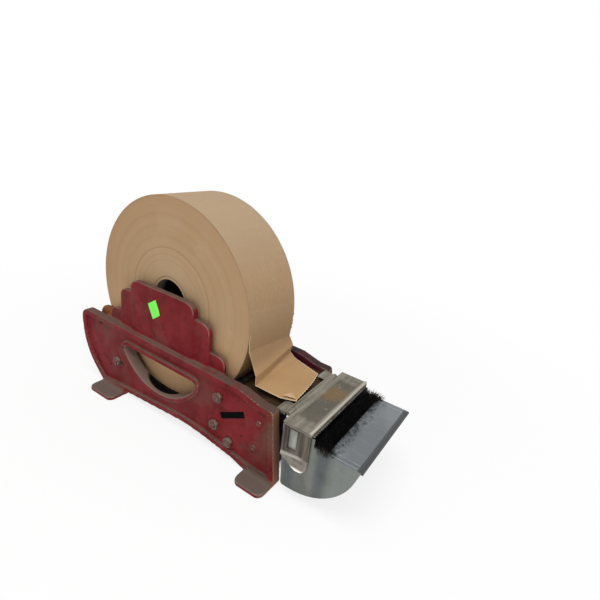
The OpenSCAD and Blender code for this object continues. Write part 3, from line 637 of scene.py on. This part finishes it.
def copy_node(node, name):
    """A merged copy of a CAD node's mesh, under a new name, with flat faces rejoined."""
    piece = bpy.data.objects.new(name, frame["nodes"][node].data.copy())
    bpy.context.collection.objects.link(piece)
    choose(piece)
    bpy.ops.object.mode_set(mode="EDIT")
    bpy.ops.mesh.select_all(action="SELECT")
    bpy.ops.mesh.remove_doubles(threshold=1e-6)
    bpy.ops.mesh.dissolve_limited(angle_limit=math.radians(0.4))
    bpy.ops.object.mode_set(mode="OBJECT")
    return piece


def softened(node, finish, width):
    """Copies a node and rounds its edges. The copy then stands for the node."""
    piece = copy_node(node, node + "_soft")
    apply(piece, "BEVEL", width=width, segments=2, limit_method="ANGLE",
          angle_limit=math.radians(32), use_clamp_overlap=True)
    dress(piece, body_of_node(node), finish)
    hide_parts(node)
    return piece


print("copying tools ready")

# %% The sheet-metal parts and the small turned ones
for node, finish, width in (
    ("deck_plate", "black", 0.0003), ("cross_plate", "black", 0.0003),
    ("feed_plate", "nickel", 0.0003), ("cover_plate", "nickel", 0.0003),
    ("cover_cheek_left", "cheek", 0.0003), ("cover_cheek_right", "cheek", 0.0003),
    ("guide_disc_left", "disc", 0.0005), ("guide_disc_right", "disc", 0.0005),
    ("tape_side_guides", "steel", 0.0003), ("tear_blade", "steel", 0.0001),
    ("roll_core", "card", 0.0004), ("tank_tongues", "zinc", 0.0002),
    ("brush_block", "wood", 0.0008), ("rod_nuts", "nut", 0.0006),
    ("frame_screws", "red nut", 0.0002),
):
    piece = softened(node, finish, width)
    print(piece.name, len(piece.data.polygons), "faces")

# These keep the CAD mesh itself, since they are round or hardly seen
for node, finish in (
    ("screw_nuts", "steel"), ("rear_shaft", "nut"), ("front_shaft", "nut"),
    ("guide_rod", "black"), ("tie_rod_mid", "nut"), ("tie_rod_low", "nut"),
    ("rear_roller", "steel"), ("front_roller", "steel"), ("guide_sleeve", "disc"),
    ("hinge_wire", "steel"), ("blade_studs", "steel"), ("brush_rests", "zinc"),
    ("water_tank", "zinc"), ("apron_plate", "apron"),
):
    coat(frame["nodes"][node], finish)

# %% [markdown]
# ## The castings
# Sand castings have no sharp edge anywhere: the mould's corners fill with a soft
# radius, and the faces are a little uneven. A bevel would tangle where the bosses
# meet the rim, so each frame is remeshed in small voxels instead and then
# smoothed, which rounds everything alike.

# %% Remesh, smooth and thin out each frame
for side, paint_job in (("left", "red"), ("right", "shaded red")):
    casting = copy_node(side + "_frame", side + "_casting")
    apply(casting, "REMESH", mode="VOXEL", voxel_size=0.00095, adaptivity=0)
    apply(casting, "SMOOTH", factor=0.5, iterations=4)
    apply(casting, "DECIMATE", ratio=0.3)
    dress(casting, "chassis", paint_job, smooth=50)
    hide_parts(side + "_frame")
    print(casting.name, len(casting.data.polygons), "triangles")

# %% [markdown]
# ## The roll of tape
# A wound roll has flat ends made of hundreds of paper edges. They never lie
# perfectly even: some windings stand out by the width of a hair, which the light
# picks up as rings. A cylinder is the start: its two ends are inset again and
# again to make rings, each ring is shifted a little, and the core's hole is
# bridged through.

# %% A cylinder with inset rings, bored through
RING_STEP = 0.0021
FIRST_RING = ROLL_R - 0.0007  # the outermost ring's radius

bpy.ops.mesh.primitive_cylinder_add(
    vertices=192, radius=ROLL_R - 0.0001, depth=0.0754, location=(0, ROLL_Y, ROLL_Z),
    rotation=(0, math.pi / 2, 0))
roll = bpy.context.object
roll.name = "wound_tape"
bpy.ops.object.transform_apply(location=True, rotation=True, scale=True)
bpy.ops.object.mode_set(mode="EDIT")
bpy.ops.mesh.select_mode(type="FACE")
bpy.ops.mesh.select_all(action="DESELECT")
bpy.ops.object.mode_set(mode="OBJECT")
for face in roll.data.polygons:
    face.select = abs(face.normal.x) > 0.9
bpy.ops.object.mode_set(mode="EDIT")
ring_radii = [FIRST_RING]
bpy.ops.mesh.inset(thickness=0.0006)
while ring_radii[-1] > CORE_R + 0.004:
    bpy.ops.mesh.inset(thickness=RING_STEP)
    ring_radii.append(ring_radii[-1] - RING_STEP)
bpy.ops.mesh.inset(thickness=ring_radii[-1] - CORE_R - 0.0002)
bpy.ops.mesh.delete(type="FACE")
bpy.ops.mesh.select_mode(type="EDGE")
bpy.ops.mesh.select_non_manifold()
bpy.ops.mesh.bridge_edge_loops()
bpy.ops.object.mode_set(mode="OBJECT")
face_outwards(roll)
chance = np.random.default_rng(11)
heights = chance.normal(0, 0.00003, len(ring_radii) + 3)
for vertex in roll.data.vertices:
    radius = math.hypot(vertex.co.y - ROLL_Y, vertex.co.z - ROLL_Z)
    if abs(vertex.co.x) > 0.03:
        ring = int(round((FIRST_RING - radius) / RING_STEP))
        lift = heights[ring % len(heights)] if radius < ROLL_R - 0.0004 else -0.0003
        angle = math.atan2(vertex.co.z - ROLL_Z, vertex.co.y - ROLL_Y)
        lift += 0.00008 * math.sin(3 * angle + radius * 200)
        vertex.co.x += math.copysign(min(lift, 0.0003), vertex.co.x)
dress(roll, "roll", "roll", smooth=50)
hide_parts("tape_roll")
print(roll.name, len(roll.data.polygons), "faces,", len(ring_radii), "rings")

# %% [markdown]
# ## The loose end
# The outer winding comes off the roll, drops, folds twice and lies forward over
# the deck, where it was torn off by hand. Cloth simulation would make it too
# limp, because gummed paper is stiff and keeps its creases. So a fine grid is laid
# along the route that its two edges take, creased, crumpled a little and given
# the thickness of paper.

# %% The route of the two edges, in metres
def on_roll(angle, out):
    """The y and z of a place round the roll, this far off its face."""
    a = math.radians(angle)
    return ROLL_Y + (ROLL_R + out) * math.cos(a), ROLL_Z + (ROLL_R + out) * math.sin(a)


TAPE_W, FEED_REAR, COVER_TOP, DECK_TOP = 0.076, 0.0972, 0.0828, 0.0789
flap_left = FEED_REAR - 0.033
flap_right = FEED_REAR - 0.043
# The first stretch hugs the roll. The rest runs straight from fold to fold.
left_route = [on_roll(165 + 3 * i, -0.0003 + 0.00015 * i) for i in range(6)] + [
    on_roll(183, 0.0008), on_roll(186, 0.0014),
    on_roll(189, 0.0025), on_roll(198.5, 0.019), (-flap_left, COVER_TOP + 0.0047),
    (-flap_left - 0.0094, COVER_TOP + 0.0052), (-flap_left - 0.0287, COVER_TOP + 0.0044),
    (-flap_left - 0.0424, COVER_TOP + 0.0024)]
right_route = [on_roll(169 + 3 * i, -0.0003 + 0.00015 * i) for i in range(6)] + [
    on_roll(187, 0.0006), on_roll(190.5, 0.0009),
    on_roll(193.6, 0.0015), on_roll(197.7, 0.0104), (-flap_right, DECK_TOP + 0.0134),
    (-flap_right - 0.007, DECK_TOP + 0.0084), (-flap_right - 0.0213, DECK_TOP + 0.0047),
    (-flap_right - 0.0408, DECK_TOP + 0.0021)]
# Rows of squares in each stretch, and squares across
STEPS = (2, 2, 2, 5, 6, 6, 6, 6, 20, 12, 9, 16, 16)
COLS = 76


def stations(route):
    """Points along a route: an even share of steps for each of its stretches."""
    points = []
    for start, stop, count in zip(route, route[1:], STEPS):
        for i in range(count):
            t = i / count
            points.append([start[k] * (1 - t) + stop[k] * t for k in (0, 1)])
    return np.array(points + [list(route[-1])])


left_edge, right_edge = stations(left_route), stations(right_route)
ROWS = len(left_edge) - 1
print("loose end:", ROWS, "rows of", COLS, "squares")

# %% Lay the grid along it, fold it, tear its edges
PAPER = 0.00025
bpy.ops.mesh.primitive_grid_add(x_subdivisions=COLS, y_subdivisions=ROWS, size=1)
loose = bpy.context.object
loose.name = "loose_tape"
grid = np.array([vertex.co for vertex in loose.data.vertices])
share = grid[:, 0] + 0.5
row = np.clip(np.rint((0.5 - grid[:, 1]) * ROWS).astype(int), 0, ROWS)
middle = left_edge[row] * (1 - share[:, None]) + right_edge[row] * share[:, None]
chance = np.random.default_rng(3)
FOLD, LAST = ROWS - 41, 32  # the row of the lower fold, and the rows near the tip
ahead = np.clip((row - (ROWS - LAST)) / LAST, 0, 1)
# The torn end bulges forward a little and has small teeth
teeth = 0.0004 * np.sin(share * 83) + 0.0003 * np.sin(share * 190 + 1)
bulge = 0.0018 * np.sin(np.pi * np.clip(share, 0, 1)) ** 1.5
middle[:, 0] -= (bulge + teeth) * ahead ** 4
# Both long edges step inwards towards the end, and are frayed at the roll
left_in = 0.0025 * np.clip(ahead * 2, 0, 1) + 0.009 * np.clip(ahead * 2 - 1, 0, 1)
right_in = 0.003 * np.clip(ahead * 2 - 1, 0, 1)
x = -TAPE_W / 2 + left_in + share * (TAPE_W - left_in - right_in)
fray = chance.normal(0, 0.0012, ROWS + 1)
height = middle[:, 1]
frayed = np.clip((0.141 - height) / 0.004, 0, 1) * np.clip((height - 0.110) / 0.010, 0, 1)
x += (fray[row] + 0.0002) * frayed * (share > 0.999)
# Paper never lies quite flat: it sags between its folds and lifts at its rims
free = np.clip((row - (FOLD - 30)) / 20, 0, 1)
sag = 0.0004 * np.sin(share * 5.5 + row * 0.05) + 0.0003 * np.sin(share * 11 - row * 0.11 + 2)
lip = 0.0010 * (np.clip(share - 0.94, 0, 1) / 0.06) ** 2 * ahead
lip -= 0.0013 * (np.clip(0.05 - share, 0, 1) / 0.05) ** 2 * ahead
points = np.c_[x, middle[:, 0], height + sag * free + lip]
loose.data.vertices.foreach_set("co", points.ravel())
loose.data.update()
rim = np.maximum(np.clip(1 - share * COLS, 0, 1), np.clip(1 - (1 - share) * COLS, 0, 1))
rim = np.maximum(rim * np.maximum(free, frayed), row == ROWS)
loose.data.attributes.new("rim", "FLOAT", "POINT").data.foreach_set("value", rim)
face_outwards(loose)
apply(loose, "SMOOTH", factor=0.5, iterations=1)
apply(loose, "SOLIDIFY", thickness=PAPER, offset=0)
dress(loose, "chassis", "sheet", smooth=20)
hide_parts("tape_end")
print(loose.name, len(loose.data.polygons), "faces")

# %% A corner of it, folded over at the tip
bpy.ops.mesh.primitive_grid_add(x_subdivisions=10, y_subdivisions=10, size=1)
dog_ear = bpy.context.object
dog_ear.name = "folded_corner"
foot, tip, back = (Vector(v) for v in (
    (-0.0330, -0.0935, 0.0880), (-0.0262, -0.1060, 0.0861), (-0.0215, -0.0985, 0.0868)))
for vertex in dog_ear.data.vertices:
    u, v = vertex.co.x + 0.5, vertex.co.y + 0.5
    place = foot + (tip - foot) * u + (back - tip) * u * v
    place.z += 0.0016 * math.sin(math.pi * u) * (0.35 + 0.65 * v) * u
    vertex.co = place
face_outwards(dog_ear, merge=1e-5)
apply(dog_ear, "SOLIDIFY", thickness=PAPER, offset=0)
dress(dog_ear, "chassis", "pale paper", smooth=30)
print(dog_ear.name, len(dog_ear.data.polygons), "faces")

# %% [markdown]
# ## Two blank stickers
# Somebody once put a bright price tag on the crest and a black number tag on the
# side. Both are left blank. Each is a small grid laid flat on its four corners,
# with one corner that has come loose, and it is as thin as paper.

# %% A sticker from its four corners
def sticker(name, plane, corners, finish):
    """Lays a sheet on the plane x = plane. The corners are (y, z) in millimetres."""
    bpy.ops.mesh.primitive_grid_add(x_subdivisions=14, y_subdivisions=10, size=1)
    sheet = bpy.context.object
    sheet.name = name
    a, b, c, d = (np.array(corner) / 1000 for corner in corners)
    for vertex in sheet.data.vertices:
        u, v = vertex.co.x + 0.5, vertex.co.y + 0.5
        y, z = (a * (1 - u) + b * u) * (1 - v) + (d * (1 - u) + c * u) * v
        curl = 0.0007 * max(0.0, u + v - 1.45) ** 2 / 0.3
        vertex.co = (plane - 0.0001 - curl, y, z)
    apply(sheet, "SOLIDIFY", thickness=0.00016, offset=0)
    face_outwards(sheet)
    dress(sheet, "chassis", finish, smooth=30)
    return sheet


CREST_FACE, WEB_FACE = -0.0510, -0.0540
price = ((79.2, 132.3), (67.1, 140.4), (59.4, 124.9), (71.2, 116.5))
number = ((-67.4, 58.8), (-64.8, 65.4), (-35.2, 49.5), (-38.0, 43.3))
for piece in (sticker("green_sticker", CREST_FACE, price, "green"),
              sticker("black_sticker", WEB_FACE, number, "black label")):
    print(piece.name, len(piece.data.polygons), "faces")

# %% [markdown]
# ## The brush
# Its bristles are thousands of stiff black hairs in rows, set in a wooden block.
# Old glue clumps them, and those at the ends and along the front splay outwards.
# One thin three-sided hair is modelled, and every other hair is a bent copy of
# it, all in one mesh, because thousands of objects would be slow.

# %% One hair, cut in four so that it can bend
BRUSH_X, BRUSH_REAR, BRUSH_FRONT, HAIR_FOOT = 0.0531, 0.147, 0.1585, 0.050
BRUSH_DEEP = BRUSH_FRONT - BRUSH_REAR
bpy.ops.mesh.primitive_cone_add(vertices=3, radius1=0.00022, radius2=0.0001, depth=1.0,
                                location=(0, 0, 0.5))
hair = bpy.context.object
bpy.ops.object.transform_apply(location=True, rotation=True, scale=True)
bpy.ops.object.mode_set(mode="EDIT")
for level in (0.35, 0.6, 0.8):
    bpy.ops.mesh.select_all(action="SELECT")
    bpy.ops.mesh.bisect(plane_co=(0, 0, level), plane_no=(0, 0, 1))
bpy.ops.object.mode_set(mode="OBJECT")
hair_points = np.array([vertex.co for vertex in hair.data.vertices])
hair_faces = [list(face.vertices) for face in hair.data.polygons]
bpy.data.objects.remove(hair)
print("one hair:", len(hair_points), "points,", len(hair_faces), "faces")

# %% That hair, planted in rows along the block
HAIR_ROWS, HAIRS, CLUMPS = 15, 190, 60
SPLAYED, MATTED = 420, 150  # loose hairs at each end
chance = np.random.default_rng(5)
all_points, all_faces = [], []
clumps = chance.normal(0, 1, (3, CLUMPS, 4))
t = hair_points[:, 2]


def plant(x, y, length, lean_x, lean_y, droop, thick=1):
    """Adds a hair that bends over towards its tip."""
    moved = hair_points * (thick, thick, length)
    moved[:, 0] += x + lean_x * t ** 2.2
    moved[:, 1] += y + lean_y * t ** 1.4
    moved[:, 2] += HAIR_FOOT - 0.0004 - droop * t ** 3
    start = len(all_points) * len(hair_points)
    all_points.append(moved)
    all_faces.extend([start + i for i in face] for face in hair_faces)


for line in range(HAIR_ROWS):
    for place in range(HAIRS):
        front = (line + 0.5) / HAIR_ROWS
        x = (-1 + 2 * (place + chance.uniform(0.1, 0.9)) / HAIRS) * (BRUSH_X - 0.0006)
        y = -(BRUSH_REAR + 0.0006 + (BRUSH_DEEP - 0.0012) * front)
        y += chance.uniform(-0.0003, 0.0003)
        clump = clumps[:, int((place / HAIRS) * CLUMPS), line // 4]
        length = 0.0290 * (1 - 0.25 * front ** 2) + 0.0008 * clump[0]
        length += chance.normal(0, 0.0009)
        lean_x = x * 0.03 * front + 0.0007 * clump[1] + chance.normal(0, 0.0004)
        lean_y = -0.0007 - 0.0030 * front ** 2 + 0.0004 * clump[2]
        lean_y += chance.normal(0, 0.0003)
        # Those at the ends splay outwards, over the rim of the tank
        end = max(0.0, (abs(x) - 0.040) / 0.013) ** 2 * (0.3 + 0.7 * front)
        lean_x += math.copysign(0.0085 * end * chance.uniform(0.0, 1.0), x)
        lean_y -= 0.0060 * end * chance.uniform(0.0, 1.0)
        plant(x, y, length, lean_x, lean_y, 0.0035 * end)
for side in (-1, 1):
    for extra in range(SPLAYED):
        outer, front = chance.uniform(0, 1) ** 0.6, chance.uniform(0, 1) ** 0.7
        x = side * (BRUSH_X - 0.0012 - 0.010 * (1 - outer))
        y = -(BRUSH_REAR + 0.0010 + (BRUSH_DEEP - 0.0020) * front)
        lean_x = side * outer * chance.uniform(0.001, 0.0105)
        lean_y = -front * chance.uniform(0.0, 0.0085)
        length = chance.uniform(0.0245, 0.0285)
        plant(x, y, length, lean_x, lean_y, chance.uniform(0.0, 0.0040) * outer)
# A few thick, matted ones lie right over the rim
for side in (-1, 1):
    for stray in range(MATTED):
        outer, front = chance.uniform(0, 1) ** 0.5, chance.uniform(0, 1) ** 0.5
        x = side * (BRUSH_X - 0.0010 - 0.006 * (1 - outer))
        y = -(BRUSH_REAR + 0.0010 + (BRUSH_DEEP - 0.0020) * front)
        lean_x = side * outer * chance.uniform(0.003, 0.0120)
        lean_y = -front * chance.uniform(0.002, 0.0125)
        droop = chance.uniform(0.001, 0.0070) * outer
        length, thick = chance.uniform(0.0240, 0.0290), chance.uniform(1.2, 2.2)
        plant(x, y, length, lean_x, lean_y, droop, thick)
print(len(all_points), "hairs,", len(all_faces), "faces")

# %% All of them in one mesh, joined to the bed that they grow from
mesh = bpy.data.meshes.new("brush_hair")
mesh.from_pydata(np.concatenate(all_points).tolist(), [], all_faces)
brush_hair = bpy.data.objects.new("brush_hair", mesh)
bpy.context.collection.objects.link(brush_hair)
bpy.ops.mesh.primitive_cube_add(size=1, location=(0, -(BRUSH_REAR + BRUSH_FRONT) / 2, 0.049),
                                scale=(2 * BRUSH_X, BRUSH_DEEP, 0.002))
hair_bed = bpy.context.object
bpy.ops.object.transform_apply(location=True, rotation=True, scale=True)
apply(hair_bed, "BEVEL", width=0.0006, segments=2)
choose(brush_hair, hair_bed)
bpy.ops.object.join()
dress(brush_hair, "brush", "bristle", smooth=60)
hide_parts("brush_bristles")
print(brush_hair.name, len(brush_hair.data.polygons), "faces")

# %% [markdown]
# ## Floor, backdrop and light
# A white floor and a white world stand in for the cut-out picture. The floor is
# still a real surface, so that the machine throws a soft shadow on it. One large
# lamp on the left is the window, a weaker one fills in from the front, and the
# world does the rest.

# %% The floor, which glows only where the camera sees it
def seen_directly(tree):
    """1 for rays of the camera, mirrors and glass, and 0 for those that light things."""
    seen = tree.add("LightPath", output="Is Camera Ray")
    for ray in ("Is Glossy Ray", "Is Transmission Ray"):
        seen = seen.most(tree.add("LightPath", output=ray))
    return seen


bpy.ops.mesh.primitive_plane_add(size=6, location=(0, 0, -0.0002))
floor = bpy.context.object
floor.name = "floor"
f = Finish("pale_floor")
# Painted shade: the floor is painted dark between the feet, where little light gets in
under = 1 - f.along(0).size().between(0.040, 0.047)
under = under * (1 - (f.along(1) - 0.022).size().between(0.112, 0.128))
f.set(f.mix(under, paint(240, 240, 240), paint(30, 28, 27)), 0.9, shine=0.1)
away = f.distance(f.place, (0, 0, 0)).between(0.15, 0.7)
lift = seen_directly(f) * (0.8 + 0.2 * away) * (1 - under)
glow = f.add("Emission", {}, {"Color": (1, 1, 1, 1), "Strength": 1.0})
mixed = f.add("MixShader", {}, {0: lift, 1: Wire(f, f.shader.outputs[0]), 2: glow})
f.plug(mixed, f.nodes["Material Output"].inputs["Surface"])
floor.data.materials.append(f.material)
print(floor.name, "ready")

# %% The world: white to look at, half as strong as a light
LIT, SEEN = 0.5, 1.0
world = bpy.data.worlds.new("soft_studio")
bpy.context.scene.world = world
sky = Tree(world)
background = sky.nodes["Background"]
sky.plug((1, 1, 1, 1), background.inputs["Color"])
sky.plug(LIT, background.inputs["Strength"])
lit = Wire(sky, background.outputs[0])
white = sky.add("Background", {}, {"Color": (1, 1, 1, 1), "Strength": SEEN})
blend = sky.add("MixShader", {}, {0: seen_directly(sky), 1: lit, 2: white})
sky.plug(blend, sky.nodes["World Output"].inputs["Surface"])
print(world.name, "ready")

# %% Lamps
def lamp(name, place, power, size):
    """A square soft box that looks at the middle of the machine."""
    bpy.ops.object.light_add(type="AREA", location=place)
    light = bpy.context.object
    light.name = name
    light.data.energy = power
    light.data.size = size
    aim = Vector((0, 0, 0.08)) - Vector(place)
    light.rotation_euler = aim.to_track_quat("-Z", "Y").to_euler()


lamp("window", (-0.5, -0.1, 1.5), 14, 0.9)
lamp("fill", (-0.6, -1.4, 0.9), 4, 1.2)
lamp("side", (-1.3, -0.7, 0.3), 4, 1.0)
bpy.context.scene.view_settings.view_transform = "Standard"
print("lamps set")
